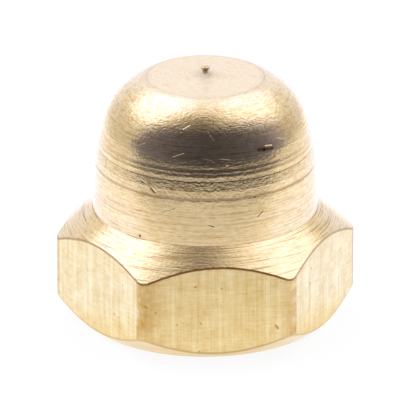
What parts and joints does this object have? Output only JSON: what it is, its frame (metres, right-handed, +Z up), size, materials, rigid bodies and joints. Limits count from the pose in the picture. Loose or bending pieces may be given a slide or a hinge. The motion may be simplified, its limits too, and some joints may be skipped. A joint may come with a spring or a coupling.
{
  "type": "cap nut",
  "caption": "Closed brass cap nut: chamfered hexagon under a tall domed crown, with a blind thread that covers and seals the end of a threaded stud or pipe stub.",
  "frame": {"origin": "centre of the flat base face, on the thread's axis", "axes": "+Z up along the thread's axis towards the crown, +X through a corner of the hexagon, so that a flat faces each way along Y"},
  "size_m": [0.016, 0.014, 0.0139],
  "materials": {
    "brass": "turned, with drawn flats"
  },
  "bodies": {
    "root": {"cap_nut": "brass"}
  },
  "joints": []
}
